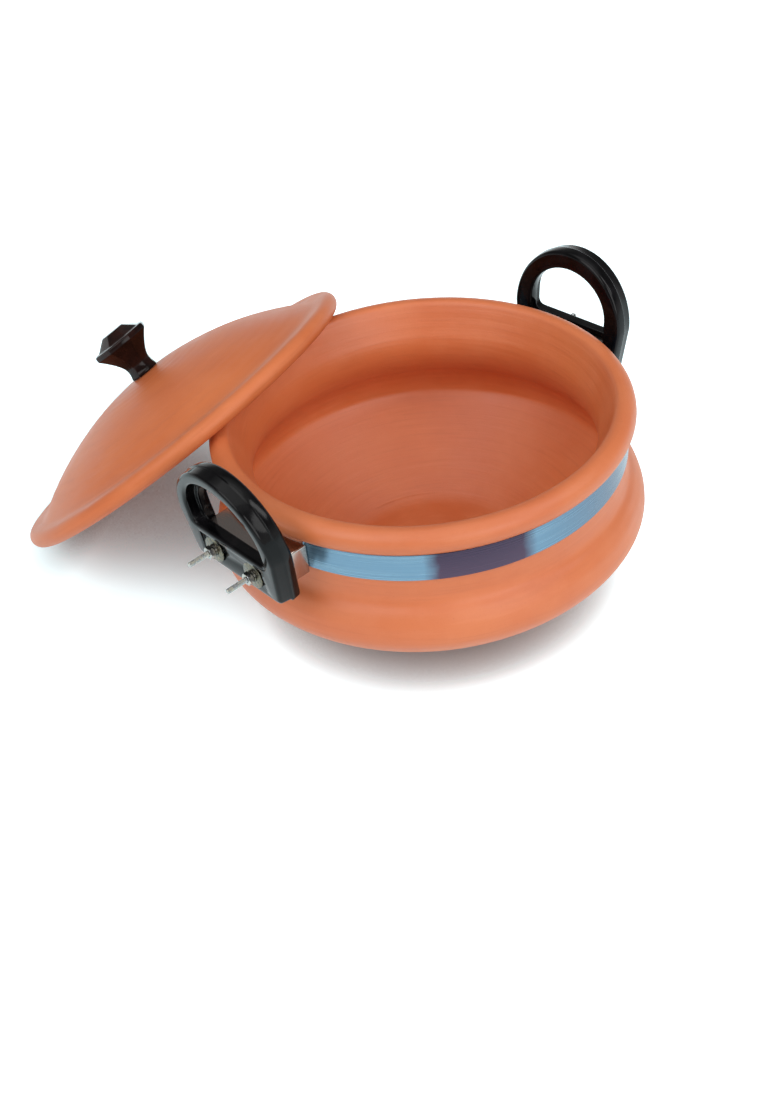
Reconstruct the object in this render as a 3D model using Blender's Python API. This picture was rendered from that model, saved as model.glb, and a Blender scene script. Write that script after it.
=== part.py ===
"""Clay handi: a wide clay cooking pot with a domed lid, a steel neck band and two black handles.

Metres, +Z up. The origin is the middle of the pot's flat base, and +X points at the far handle.
The lid leans on the rim with its low edge on the table, and lifts away along its own axis.
"""
import math

import bmesh
import bpy
from mathutils import Matrix, Vector

# Fits between pieces
SEAT_GAP = 0.0003
HOLE_GAP = 0.0003
MERGE_DISTANCE = 0.000001

# Pot
POT_HEIGHT = 0.128
RIM_RADIUS = 0.125
LIP_RADIUS = 0.008
LIP_INNER_ANGLE = math.radians(115)
LIP_OVERHANG = 0.0057
FLARE_SLOPE = math.radians(65)
THROAT_INSET = 0.0224
THROAT_DROP = 0.028
THROAT_KNEE = 0.005
INSIDE_BEND = 0.010
WALL = 0.009
FLOOR = 0.010
BELLY_DROP = 0.0707
BELLY_BULGE = 0.0108
SHOULDER_WIDTH = 0.022
SHOULDER_HEIGHT = 0.024
SHOULDER_BLEND = math.radians(49)
TURN_WIDTH = 0.0107
TURN_HEIGHT = 0.016
TURN_SLOPE = math.radians(41)
BASE_RADIUS = 0.060
POT_SEGMENTS = 64

# Neck band
BAND_WIDTH = 0.0175
BAND_THICKNESS = 0.0008
BAND_STEPS = 28
TAB_SLOPE = 0.0006

# Brackets
BRACKET_WIDTH = 0.060
BRACKET_HEIGHT = 0.019
BRACKET_DROP = 0.0016
BRACKET_REACH = 0.0196
SHEET = 0.001
SHEET_BEND = 0.0012
FLANGE_END = 0.010

# Handles
HANDLE_ANGLES = {"far": 0.0, "near": math.radians(177.2)}
HANDLE_DEPTH = 0.0144
HANDLE_LEAN = 0.124
BAR_HEIGHT = 0.024
BAR_TOP_DEPTH = 0.0082
BAR_SEAT_DEPTH = 0.0052
FOOT_DROP = 0.0105
RING_HALF_WIDTH = 0.0418
RING_FOOT_HALF_WIDTH = 0.036
RING_ARCH_HEIGHT = 0.0288
RING_HEIGHT = 0.072
RING_CORNER = 0.006
GRIP_HALF_WIDTH = 0.0312
GRIP_ARCH_HEIGHT = 0.0102
GRIP_HEIGHT = 0.0385
GRIP_CORNER = 0.005
RING_ROUNDING = 0.0022
RING_DRAFT = 0.0004
RING_PARTING = 0.0072
RING_STEP = 0.0008
RING_STEP_RUN = 0.0005
POCKET_HALF_WIDTH = 0.027
POCKET_TOP_RIM = 0.0045
ARCH_STEPS = 8
CORNER_STEPS = 3

# Fasteners
BOLT_SPACING = 0.034
BOLT_RISE = 0.0085
BOLT_RADIUS = 0.0016
BOLT_PROUD = 0.013
BOLT_HEAD_RADIUS = 0.0034
BOLT_HEAD_HEIGHT = 0.0026
BOLT_TIP = 0.0005
WASHER_RADIUS = 0.008
WASHER_THICKNESS = 0.001
SPRING_WASHER_RADIUS = 0.0036
SPRING_WASHER_THICKNESS = 0.0009
NUT_FLATS = 0.0068
NUT_HEIGHT = 0.0032
NUT_CHAMFER = 0.0004
SHAFT_SEGMENTS = 12
WASHER_SEGMENTS = 24

# Lid
LID_RADIUS = 0.126
LID_EDGE_RADIUS = 0.0056
LID_RISE = 0.0373
LID_DOME_RADIUS = 0.2086
LID_WALL = 0.008
LID_BROW_RADIUS = 0.1045
LID_BROW_BLEND = 0.009
LID_AZIMUTH = math.radians(107)
LID_TILT = math.radians(36.57)
LID_HOLE_RADIUS = 0.003
LID_SEGMENTS = 64

# Knob and its screw
KNOB_SIDES = 8
KNOB_HEIGHT = 0.033
KNOB_HEAD_RADIUS = 0.0202
KNOB_RIM_HEIGHT = 0.0052
KNOB_CROWN_HEIGHT = 0.006
KNOB_CROWN_EDGE = 0.0166
KNOB_CROWN_RADIUS = 0.0083
KNOB_NECK_RADIUS = 0.0091
KNOB_NECK_HEIGHT = 0.0065
KNOB_NECK_TURN = 0.0115
KNOB_FOOT_RADIUS = 0.0101
KNOB_FOOT_HEIGHT = 0.0016
KNOB_BORE_DEPTH = 0.017
SCREW_RADIUS = 0.0025
SCREW_GRIP = 0.014
SCREW_HEAD_RADIUS = 0.0048
SCREW_HEAD_HEIGHT = 0.003
SCREW_WASHER_RADIUS = 0.0075
SCREW_WASHER_THICKNESS = 0.0012

# Heights and radii that follow from the sizes above
NECK_RADIUS = RIM_RADIUS - LIP_OVERHANG
LIP_CENTRE = (RIM_RADIUS - LIP_RADIUS, POT_HEIGHT - LIP_RADIUS)
THROAT = (RIM_RADIUS - THROAT_INSET, POT_HEIGHT - THROAT_DROP)
BELLY = (NECK_RADIUS + BELLY_BULGE, POT_HEIGHT - BELLY_DROP)
BAND_INNER = NECK_RADIUS + SEAT_GAP
BAND_MIDDLE = BAND_INNER + BAND_THICKNESS / 2
BAND_OUTER = BAND_INNER + BAND_THICKNESS
LIP_UNDERSIDE = LIP_CENTRE[1] - math.sqrt(LIP_RADIUS ** 2 - (BAND_INNER - LIP_CENTRE[0]) ** 2)
BAND_TOP = LIP_UNDERSIDE - SEAT_GAP
BAND_BOTTOM = BAND_TOP - BAND_WIDTH
BRACKET_TOP = BAND_TOP - BRACKET_DROP
BRACKET_BOTTOM = BRACKET_TOP - BRACKET_HEIGHT
BRACKET_FACE = NECK_RADIUS + BRACKET_REACH
BRACKET_SEAT = BAND_OUTER + 2 * SEAT_GAP
TAB_TOP = BRACKET_TOP - SHEET - SEAT_GAP
TAB_Y = BRACKET_WIDTH / 2 - SHEET - SEAT_GAP - BAND_THICKNESS / 2
FLANGE_X = BRACKET_FACE - SHEET - SEAT_GAP - BAND_THICKNESS / 2
BOLT_Z = BRACKET_BOTTOM + BOLT_RISE
BAR_BACK = BRACKET_FACE + SEAT_GAP
POCKET_FACE = BAR_BACK + BAR_SEAT_DEPTH
FOOT_Z = BOLT_Z - FOOT_DROP
BAR_TOP = FOOT_Z + BAR_HEIGHT
RING_FACE = BRACKET_FACE + BAR_TOP_DEPTH


def arc(centre, radius, start, end, steps):
    """Points of a round stretch, from one angle to another."""
    angles = [start + (end - start) * step / steps for step in range(steps + 1)]
    return [(centre[0] + radius * math.cos(a), centre[1] + radius * math.sin(a)) for a in angles]


def bend(start, corner, end, steps):
    """Points of a curve that leaves start towards corner and reaches end from it."""
    points = []
    for step in range(steps + 1):
        t = step / steps
        weights = ((1 - t) ** 2, 2 * t * (1 - t), t ** 2)
        points.append(tuple(sum(w * p[k] for w, p in zip(weights, (start, corner, end))) for k in (0, 1)))
    return points


def meet(first, first_angle, second, second_angle):
    """Point where two lines cross, each given by a point and its angle."""
    ca, sa = math.cos(first_angle), math.sin(first_angle)
    cb, sb = math.cos(second_angle), math.sin(second_angle)
    across = (second[0] - first[0]) * sb - (second[1] - first[1]) * cb
    along = across / (ca * sb - sa * cb)
    return (first[0] + along * ca, first[1] + along * sa)


def joined(*runs):
    """One outline from several runs of points, each shared end kept once."""
    points = []
    for run in runs:
        for point in run:
            if not points or math.dist(point, points[-1]) > MERGE_DISTANCE:
                points.append(point)
    return points


def material(name, colour, roughness, metallic=0.0):
    """A plain material for one kind of piece."""
    made = bpy.data.materials.new(name)
    made.use_nodes = True
    shader = made.node_tree.nodes["Principled BSDF"]
    shader.inputs["Base Color"].default_value = (*colour, 1.0)
    shader.inputs["Roughness"].default_value = roughness
    shader.inputs["Metallic"].default_value = metallic
    made.diffuse_color = (*colour, 1.0)
    return made


def add_object(name, bm, finish, place=None, crease=35):
    """Turn a mesh under construction into a named object, shaded smooth but for its sharp edges."""
    bmesh.ops.recalc_face_normals(bm, faces=bm.faces)
    mesh = bpy.data.meshes.new(name)
    bm.to_mesh(mesh)
    bm.free()
    mesh.materials.append(finish)
    mesh.shade_smooth()
    mesh.set_sharp_from_angle(angle=math.radians(crease))
    made = bpy.data.objects.new(name, mesh)
    bpy.context.scene.collection.objects.link(made)
    made.parent = place
    return made


def add_place(name, matrix):
    """An empty that carries the pieces built in its own frame."""
    place = bpy.data.objects.new(name, None)
    place.empty_display_size = 0.02
    place.matrix_world = matrix
    bpy.context.scene.collection.objects.link(place)
    return place


def turned(outline, segments, centre=(0, 0, 0), turn=0.0, closed=False):
    """Turn a (radius, height) outline about Z through centre."""
    bm = bmesh.new()
    cosine, sine = math.cos(turn), math.sin(turn)
    verts = [bm.verts.new((r * cosine, r * sine, z)) for r, z in outline]
    edges = [bm.edges.new(pair) for pair in zip(verts, verts[1:])]
    if closed:
        edges.append(bm.edges.new((verts[-1], verts[0])))
    bmesh.ops.spin(bm, geom=verts + edges, cent=(0, 0, 0), axis=(0, 0, 1), angle=2 * math.pi,
                   steps=segments, use_merge=True, use_duplicate=False)
    bmesh.ops.remove_doubles(bm, verts=bm.verts, dist=MERGE_DISTANCE)
    bmesh.ops.translate(bm, verts=bm.verts, vec=centre)
    return bm


def turned_along_x(outline, segments, start, turn=0.0, closed=False):
    """Turn an outline of (radius, distance) about a line along +X from start."""
    bm = turned(outline, segments, turn=turn, closed=closed)
    bmesh.ops.rotate(bm, verts=bm.verts, matrix=Matrix.Rotation(math.pi / 2, 3, "Y"))
    bmesh.ops.translate(bm, verts=bm.verts, vec=start)
    return bm


def box(low, high):
    """A rectangular block between two corners."""
    bm = bmesh.new()
    bmesh.ops.create_cube(bm, size=1)
    size = [b - a for a, b in zip(low, high)]
    middle = [(a + b) / 2 for a, b in zip(low, high)]
    bmesh.ops.scale(bm, verts=bm.verts, vec=size)
    bmesh.ops.translate(bm, verts=bm.verts, vec=middle)
    return bm


def add_cutter(name, bm, place):
    """A shape that only cuts others."""
    cutter = add_object(name, bm, CUTTER, place)
    cutter.hide_render = True
    cutter.display_type = "WIRE"
    return cutter


def cut(target, cutter):
    """Cut a cutter out of an object."""
    modifier = target.modifiers.new(cutter.name, "BOOLEAN")
    modifier.operation = "DIFFERENCE"
    modifier.solver = "EXACT"
    modifier.object = cutter


def pot_neck():
    """Outside of the pot from the neck down to its widest part."""
    middle = BELLY[0] - SHOULDER_WIDTH
    angles = [SHOULDER_BLEND * (1 - step / 3) for step in range(4)]
    shoulder = [(middle + SHOULDER_WIDTH * math.cos(a), BELLY[1] + SHOULDER_HEIGHT * math.sin(a)) for a in angles]
    steepness = SHOULDER_HEIGHT / (SHOULDER_WIDTH * math.tan(SHOULDER_BLEND))
    corner = (NECK_RADIUS, shoulder[0][1] + (shoulder[0][0] - NECK_RADIUS) * steepness)
    waist = bend((NECK_RADIUS, corner[1] + math.dist(corner, shoulder[0])), corner, shoulder[0], 3)
    return joined(waist, shoulder)


def pot_bowl(inset, level):
    """Half section from the widest part down to a flat at level, set in from the outside by inset."""
    outer_turn = (BELLY[0] - TURN_WIDTH, BELLY[1] - TURN_HEIGHT)
    chord = math.atan2(outer_turn[1], outer_turn[0] - BASE_RADIUS)
    base_slope = 2 * chord - TURN_SLOPE
    turn_end = (outer_turn[0] - inset * math.sin(TURN_SLOPE), outer_turn[1] + inset * math.cos(TURN_SLOPE))
    widest = (BELLY[0] - inset, BELLY[1])
    turn = bend(widest, meet(widest, math.pi / 2, turn_end, TURN_SLOPE), turn_end, 4)
    rise = level - inset * math.cos(base_slope)
    edge = (BASE_RADIUS - inset * math.sin(base_slope) + rise / math.tan(base_slope), level)
    under = bend(turn_end, meet(turn_end, TURN_SLOPE, edge, base_slope), edge, 3)
    return joined(turn, under)


def pot_outline():
    """Half section of the pot, from the floor's middle up the inside and down the outside."""
    inside = pot_bowl(WALL, FLOOR)[::-1]
    low_corner = (inside[-1][0], inside[-1][1] + INSIDE_BEND)
    high_corner = (THROAT[0], THROAT[1] - INSIDE_BEND)
    between = tuple((a + b) / 2 for a, b in zip(low_corner, high_corner))
    wall = joined(bend(inside[-1], low_corner, between, 4), bend(between, high_corner, THROAT, 4))
    neck_angle = -math.acos((NECK_RADIUS - LIP_CENTRE[0]) / LIP_RADIUS)
    lip = arc(LIP_CENTRE, LIP_RADIUS, LIP_INNER_ANGLE, neck_angle, 9)
    knee = (THROAT[0], THROAT[1] + THROAT_KNEE)
    above = (knee[0] + THROAT_KNEE * math.cos(FLARE_SLOPE), knee[1] + THROAT_KNEE * math.sin(FLARE_SLOPE))
    crest = meet(knee, FLARE_SLOPE, lip[0], LIP_INNER_ANGLE - math.pi / 2)
    flare = joined(bend(THROAT, knee, above, 3), bend(above, crest, lip[0], 3))
    outside = joined(pot_neck(), pot_bowl(0.0, 0.0))
    return joined([(0.0, FLOOR)], inside, wall, flare, lip, outside, [(0.0, 0.0)])


def add_pot():
    add_object("pot", turned(pot_outline(), POT_SEGMENTS), CLAY)


def on_plan(x, y, angle):
    """A point of a handle's frame, turned to its place round the pot."""
    return (x * math.cos(angle) - y * math.sin(angle), x * math.sin(angle) + y * math.cos(angle))


def strap_path(start_angle, end_angle):
    """Plan line of half the band with the height of its top edge at each point."""
    tab = math.asin(TAB_Y / BAND_MIDDLE)
    first, last = start_angle + tab, end_angle - tab
    around = [first + (last - first) * step / BAND_STEPS for step in range(BAND_STEPS + 1)]
    under_plate = BAND_MIDDLE * math.cos(tab) + TAB_SLOPE
    turned_in = [(FLANGE_X, FLANGE_END), (FLANGE_X, TAB_Y), (under_plate, TAB_Y)]
    path = [(*on_plan(x, y, start_angle), TAB_TOP) for x, y in turned_in]
    path += [(*on_plan(BAND_MIDDLE, 0, angle), BAND_TOP) for angle in around]
    path += [(*on_plan(x, -y, end_angle), TAB_TOP) for x, y in reversed(turned_in)]
    return path


def side_step(path, index):
    """Half the strap's thickness, square to the plan line and mitred at its corners."""
    here = Vector(path[index][:2])
    ways = []
    if index > 0:
        ways.append((here - Vector(path[index - 1][:2])).normalized())
    if index < len(path) - 1:
        ways.append((Vector(path[index + 1][:2]) - here).normalized())
    normals = [Vector((-way.y, way.x)) for way in ways]
    mitre = sum(normals, Vector((0, 0))).normalized()
    return mitre * (BAND_THICKNESS / 2 / mitre.dot(normals[0]))


def add_strap(name, start_angle, end_angle, cutters):
    """Half the neck band: a strip round the neck whose ends turn out and back into the brackets."""
    path = strap_path(start_angle, end_angle)
    bm = bmesh.new()
    rings = []
    for index, (x, y, top) in enumerate(path):
        step = side_step(path, index)
        corners = ((x + step.x, y + step.y), (x - step.x, y - step.y))
        ring = [bm.verts.new((*corners[0], BAND_BOTTOM)), bm.verts.new((*corners[1], BAND_BOTTOM))]
        ring += [bm.verts.new((*corners[1], top)), bm.verts.new((*corners[0], top))]
        rings.append(ring)
    for one, other in zip(rings, rings[1:]):
        for k in range(4):
            bm.faces.new((one[k], one[(k + 1) % 4], other[(k + 1) % 4], other[k]))
    bm.faces.new(rings[0])
    bm.faces.new(rings[-1])
    strap = add_object(name, bm, STEEL)
    for cutter in cutters:
        cut(strap, cutter)


def add_bracket(name, place, cutters):
    """A folded sheet channel: top, front and two side plates, open below and towards the neck."""
    half = BRACKET_WIDTH / 2
    reach = math.asin(half / BRACKET_SEAT)
    back = arc((0, 0), BRACKET_SEAT, reach, -reach, 8)
    bm = bmesh.new()
    top = [bm.verts.new((x, y, BRACKET_TOP)) for x, y in back]
    front = [bm.verts.new((BRACKET_FACE, y, BRACKET_TOP)) for y in (-half, half)]
    low_back = [bm.verts.new((back[0][0], y, BRACKET_BOTTOM)) for y in (half, -half)]
    low_front = [bm.verts.new((BRACKET_FACE, y, BRACKET_BOTTOM)) for y in (-half, half)]
    bm.faces.new(top + front)
    bm.faces.new((front[0], low_front[0], low_front[1], front[1]))
    bm.faces.new((top[0], front[1], low_front[1], low_back[0]))
    bm.faces.new((top[-1], low_back[1], low_front[0], front[0]))
    bracket = add_object(name, bm, STEEL, place)
    folds = bracket.modifiers.new("folds", "BEVEL")
    folds.width = SHEET_BEND
    folds.segments = 2
    thickness = bracket.modifiers.new("sheet", "SOLIDIFY")
    thickness.thickness = SHEET
    thickness.offset = -1
    thickness.use_even_offset = True
    for cutter in cutters:
        cut(bracket, cutter)


def arch(half_width, foot_half_width, foot, spring, crown, corner):
    """Closed outline of a D: a level foot, rounded corners, leaning sides and an elliptic arch."""
    foot_corner = (foot_half_width, foot)
    side = math.atan2(spring - foot, half_width - foot_half_width)
    up_side = (foot_half_width + corner * math.cos(side), foot + corner * math.sin(side))
    angles = [math.pi / 2 * step / ARCH_STEPS for step in range(ARCH_STEPS + 1)]
    over = [(half_width * math.cos(a), spring + (crown - spring) * math.sin(a)) for a in angles]
    over[-1] = (0.0, crown)
    right = joined([(0.0, foot)], bend((foot_half_width - corner, foot), foot_corner, up_side, CORNER_STEPS), over)
    return right + [(-y, z) for y, z in right[-2:0:-1]]


def ring_outline(grow):
    """Outside of the handle's ring, grown by a margin."""
    return arch(RING_HALF_WIDTH + grow, RING_FOOT_HALF_WIDTH + grow, FOOT_Z - grow,
                FOOT_Z + RING_ARCH_HEIGHT, FOOT_Z + RING_HEIGHT + grow, RING_CORNER)


def grip_outline(grow):
    """Finger opening of the handle, grown by a margin."""
    return arch(GRIP_HALF_WIDTH + grow, GRIP_HALF_WIDTH + grow, BAR_TOP - grow,
                BAR_TOP + GRIP_ARCH_HEIGHT, BAR_TOP + GRIP_HEIGHT + grow, GRIP_CORNER)


def rounded_depths(step=0.0):
    """Depths from the ring's front face, with how far in the outline stands there; the front is a step lower."""
    angles = [math.pi / 2 * index / 2 for index in range(3)]
    edge = [(RING_ROUNDING * (1 - math.sin(a)), RING_ROUNDING * (1 - math.cos(a)) + RING_DRAFT) for a in angles]
    front = [(depth, inset + step) for depth, inset in reversed(edge)]
    back = [(HANDLE_DEPTH - depth, inset) for depth, inset in edge]
    return front + [(RING_PARTING, step), (RING_PARTING + RING_STEP_RUN, 0.0)] + back


def add_handle(name, place, cutters):
    """A moulded D-shaped handle with a thick foot bar that leans away from the pot."""
    loops = [(depth, ring_outline(-inset)) for depth, inset in rounded_depths(RING_STEP)]
    loops += [(depth, grip_outline(inset)) for depth, inset in reversed(rounded_depths())]
    bm = bmesh.new()
    rings = []
    for depth, outline in loops:
        points = [(RING_FACE - depth + HANDLE_LEAN * (z - BAR_TOP), y, z) for y, z in outline]
        rings.append([bm.verts.new(point) for point in points])
    count = len(rings[0])
    for one, other in zip(rings, rings[1:] + rings[:1]):
        for k in range(count):
            bm.faces.new((one[k], one[(k + 1) % count], other[(k + 1) % count], other[k]))
    handle = add_object(name, bm, BAKELITE, place)
    for cutter in cutters:
        cut(handle, cutter)


def handle_cutters(name, place):
    """The recess that takes the bracket and the flat pocket that takes the washers."""
    half = BRACKET_WIDTH / 2 + SEAT_GAP
    behind = BRACKET_FACE - HANDLE_DEPTH - HANDLE_LEAN * RING_HEIGHT
    recess = box((behind, -half, FOOT_Z - BAR_HEIGHT), (BAR_BACK, half, BAR_TOP + GRIP_CORNER + SEAT_GAP))
    pocket = box((POCKET_FACE, -POCKET_HALF_WIDTH, FOOT_Z - BAR_HEIGHT),
                 (POCKET_FACE + HANDLE_DEPTH, POCKET_HALF_WIDTH, BAR_TOP - POCKET_TOP_RIM))
    return [add_cutter(f"recess_{name}", recess, place), add_cutter(f"pocket_{name}", pocket, place)]


def shaft_cutter(name, place, y):
    """A through hole on one bolt's line."""
    radius = BOLT_RADIUS + HOLE_GAP
    outline = [(0, 0), (radius, 0), (radius, 2 * BRACKET_REACH), (0, 2 * BRACKET_REACH)]
    start = (BRACKET_FACE - BRACKET_REACH / 2, y, BOLT_Z)
    return add_cutter(name, turned_along_x(outline, SHAFT_SEGMENTS, start), place)


def ring_section(inner, outer, start, end, chamfer=0.0):
    """Section of a washer or a nut."""
    section = [(inner, start), (outer - chamfer, start), (outer, start + chamfer)]
    return joined(section, [(outer, end - chamfer), (outer - chamfer, end), (inner, end)])


def add_fasteners(name, place, y):
    """One bolt from inside the bracket, with its washer, spring washer and nut outside the handle."""
    head_end = FLANGE_X - BAND_THICKNESS / 2 - SEAT_GAP
    head_start = head_end - BOLT_HEAD_HEIGHT
    washer_start = POCKET_FACE + SEAT_GAP
    washer_end = washer_start + WASHER_THICKNESS
    spring_start = washer_end + SEAT_GAP
    spring_end = spring_start + SPRING_WASHER_THICKNESS
    nut_start = spring_end + SEAT_GAP
    nut_end = nut_start + NUT_HEIGHT
    tip = nut_end + BOLT_PROUD
    line = (0, y, BOLT_Z)
    shaft = [(BOLT_RADIUS, head_end), (BOLT_RADIUS, tip - BOLT_TIP), (BOLT_RADIUS - BOLT_TIP, tip), (0, tip)]
    bolt = joined([(0, head_start), (BOLT_HEAD_RADIUS - BOLT_TIP, head_start)],
                  [(BOLT_HEAD_RADIUS, head_start + BOLT_TIP), (BOLT_HEAD_RADIUS, head_end)], shaft)
    add_object(f"bolt_{name}", turned_along_x(bolt, SHAFT_SEGMENTS, line), ZINC, place)
    bore = BOLT_RADIUS + HOLE_GAP
    washer = ring_section(bore, WASHER_RADIUS, washer_start, washer_end)
    add_object(f"washer_{name}", turned_along_x(washer, WASHER_SEGMENTS, line, closed=True), ZINC, place)
    spring = ring_section(bore, SPRING_WASHER_RADIUS, spring_start, spring_end)
    add_object(f"spring_washer_{name}", turned_along_x(spring, SHAFT_SEGMENTS, line, closed=True), ZINC, place)
    corners = NUT_FLATS / 2 / math.cos(math.pi / 6)
    nut = ring_section(bore, corners, nut_start, nut_end, NUT_CHAMFER)
    add_object(f"nut_{name}", turned_along_x(nut, 6, line, closed=True), ZINC, place, crease=20)


def lid_outline():
    """Half section of the lid about the plane through its rounded edge's middle."""
    centre = (0.0, LID_RISE - LID_DOME_RADIUS)
    brow = math.acos(LID_BROW_RADIUS / LID_DOME_RADIUS)
    hole = math.acos(LID_HOLE_RADIUS / LID_DOME_RADIUS)
    dome = arc(centre, LID_DOME_RADIUS, hole, brow, 7)
    edge_centre = (LID_RADIUS - LID_EDGE_RADIUS, 0.0)
    flange_start = (LID_BROW_RADIUS + LID_BROW_BLEND, LID_EDGE_RADIUS)
    brow_corner = meet(dome[-1], brow - math.pi / 2, flange_start, 0.0)
    flange = bend(dome[-1], brow_corner, flange_start, 3)
    edge = arc(edge_centre, LID_EDGE_RADIUS, math.pi / 2, -math.pi / 2, 6)
    inner_radius = LID_DOME_RADIUS - LID_WALL
    inner_edge = math.asin((-LID_EDGE_RADIUS - centre[1]) / inner_radius)
    inner_hole = math.acos(LID_HOLE_RADIUS / inner_radius)
    hollow = arc(centre, inner_radius, inner_edge, inner_hole, 7)
    return joined(dome, flange, edge, hollow)


def distance_to_outline(point, outline):
    """Shortest distance from a point to an outline's sides."""
    here = Vector(point)
    nearest = math.inf
    for start, end in zip(outline, outline[1:]):
        a, b = Vector(start), Vector(end)
        along = (here - a).dot(b - a) / (b - a).length_squared
        foot = a + (b - a) * min(1.0, max(0.0, along))
        nearest = min(nearest, (here - foot).length)
    return nearest


def lid_matrix(distance):
    """The leaning lid's frame, its low edge on the table and its middle at a distance from the pot's axis."""
    height = (LID_RADIUS - LID_EDGE_RADIUS) * math.sin(LID_TILT) + LID_EDGE_RADIUS
    turn = Matrix.Rotation(LID_AZIMUTH, 4, "Z") @ Matrix.Rotation(LID_TILT, 4, "Y")
    outward = Vector((math.cos(LID_AZIMUTH), math.sin(LID_AZIMUTH), 0))
    return Matrix.Translation(outward * distance + Vector((0, 0, height))) @ turn


def lid_clearance(distance, outline):
    """Least gap between the lip's round edge and the lid's section."""
    inverse = lid_matrix(distance).inverted()
    gaps = []
    for step in range(120):
        x, y = on_plan(LIP_CENTRE[0], 0, LID_AZIMUTH + math.pi / 2 * step / 120)
        seen = inverse @ Vector((x, y, LIP_CENTRE[1]))
        gaps.append(distance_to_outline((math.hypot(seen.x, seen.y), seen.z), outline) - LIP_RADIUS)
    return min(gaps)


def lid_distance(outline):
    """How far from the pot's axis the leaning lid's middle lies when its underside rests on the lip."""
    step = LIP_RADIUS / 2
    far = RIM_RADIUS + 2 * LID_RADIUS
    while far > step and lid_clearance(far - step, outline) > SEAT_GAP:
        far -= step
    near = far - step
    for _ in range(20):
        middle = (near + far) / 2
        if lid_clearance(middle, outline) > SEAT_GAP:
            far = middle
        else:
            near = middle
    return far


def add_lid(place, outline):
    add_object("lid", turned(outline, LID_SEGMENTS, closed=True), CLAY, place)


def knob_outline():
    """Half section of the knob, from its screw bore down and out to the crown's middle."""
    bore = SCREW_RADIUS + HOLE_GAP
    rim_high = KNOB_HEIGHT - KNOB_CROWN_HEIGHT
    rim_low = rim_high - KNOB_RIM_HEIGHT
    bevel = KNOB_RIM_HEIGHT / 4
    foot = [(KNOB_FOOT_RADIUS, 0), (KNOB_FOOT_RADIUS, KNOB_FOOT_HEIGHT)]
    waist = (KNOB_NECK_RADIUS, KNOB_NECK_HEIGHT)
    flare = bend(foot[-1], (KNOB_NECK_RADIUS, KNOB_NECK_HEIGHT / 2), waist, 3)
    neck = bend(waist, (KNOB_NECK_RADIUS, KNOB_NECK_TURN), (KNOB_HEAD_RADIUS - bevel, rim_low), 6)
    rim = [(KNOB_HEAD_RADIUS, rim_low + bevel), (KNOB_HEAD_RADIUS, rim_high - bevel),
           (KNOB_HEAD_RADIUS - bevel / 2, rim_high - bevel / 3), (KNOB_CROWN_EDGE, rim_high)]
    crown = [(KNOB_CROWN_RADIUS, KNOB_HEIGHT), (0, KNOB_HEIGHT)]
    return joined([(0, KNOB_BORE_DEPTH), (bore, KNOB_BORE_DEPTH), (bore, 0)], foot, flare, neck, rim, crown)


def add_knob(place):
    """The faceted knob on the dome's top."""
    base = (0, 0, LID_RISE + SEAT_GAP)
    half_side = math.pi / KNOB_SIDES
    knob = turned(knob_outline(), KNOB_SIDES, centre=base, turn=half_side)
    add_object("knob", knob, BROWN_BAKELITE, place, crease=20)


def add_knob_screw(place):
    """The screw that holds the knob from inside the lid, with the washer under its head."""
    inner_radius = LID_DOME_RADIUS - LID_WALL
    drop = inner_radius - math.sqrt(inner_radius ** 2 - SCREW_WASHER_RADIUS ** 2)
    washer_top = LID_RISE - LID_WALL - drop - SEAT_GAP
    washer_low = washer_top - SCREW_WASHER_THICKNESS
    bore = SCREW_RADIUS + HOLE_GAP
    washer = ring_section(bore, SCREW_WASHER_RADIUS, washer_low, washer_top)
    add_object("knob_washer", turned(washer, WASHER_SEGMENTS, closed=True), ZINC, place)
    head_top = washer_low - SEAT_GAP
    head_low = head_top - SCREW_HEAD_HEIGHT
    tip = LID_RISE + SEAT_GAP + SCREW_GRIP
    dome = bend((0, head_low), (SCREW_HEAD_RADIUS, head_low), (SCREW_HEAD_RADIUS, head_top), 3)
    screw = joined(dome, [(SCREW_RADIUS, head_top), (SCREW_RADIUS, tip), (0, tip)])
    add_object("knob_screw", turned(screw, SHAFT_SEGMENTS), ZINC, place)


def add_handle_set(name, angle):
    """One handle with its bracket and fasteners, built in a frame whose +X points outwards."""
    place = add_place(f"{name}_side", Matrix.Rotation(angle, 4, "Z"))
    sides = {"left": BOLT_SPACING / 2, "right": -BOLT_SPACING / 2}
    holes = {side: shaft_cutter(f"hole_{name}_{side}", place, y) for side, y in sides.items()}
    add_bracket(f"bracket_{name}", place, holes.values())
    add_handle(f"handle_{name}", place, handle_cutters(name, place) + list(holes.values()))
    for side, y in sides.items():
        add_fasteners(f"{name}_{side}", place, y)
    return holes


for old in list(bpy.data.objects):
    bpy.data.objects.remove(old, do_unlink=True)

CLAY = material("clay", (0.55, 0.21, 0.095), 0.75)
STEEL = material("steel", (0.62, 0.64, 0.66), 0.15, 1.0)
ZINC = material("zinc", (0.60, 0.58, 0.52), 0.3, 1.0)
BAKELITE = material("bakelite", (0.012, 0.012, 0.013), 0.3)
BROWN_BAKELITE = material("brown_bakelite", (0.03, 0.014, 0.009), 0.25)
CUTTER = material("cutter", (0.8, 0.1, 0.1), 0.5)

add_pot()
far_holes = add_handle_set("far", HANDLE_ANGLES["far"])
near_holes = add_handle_set("near", HANDLE_ANGLES["near"])
add_strap("band_back", HANDLE_ANGLES["far"], HANDLE_ANGLES["near"], [far_holes["left"], near_holes["right"]])
add_strap("band_front", HANDLE_ANGLES["near"], HANDLE_ANGLES["far"] + 2 * math.pi,
          [near_holes["left"], far_holes["right"]])
lid_section = lid_outline()
lid_place = add_place("lid_axis", lid_matrix(lid_distance(lid_section)))
add_lid(lid_place, lid_section)
add_knob(lid_place)
add_knob_screw(lid_place)
print("lid place", [round(value, 6) for value in lid_place.matrix_world.translation])
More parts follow.
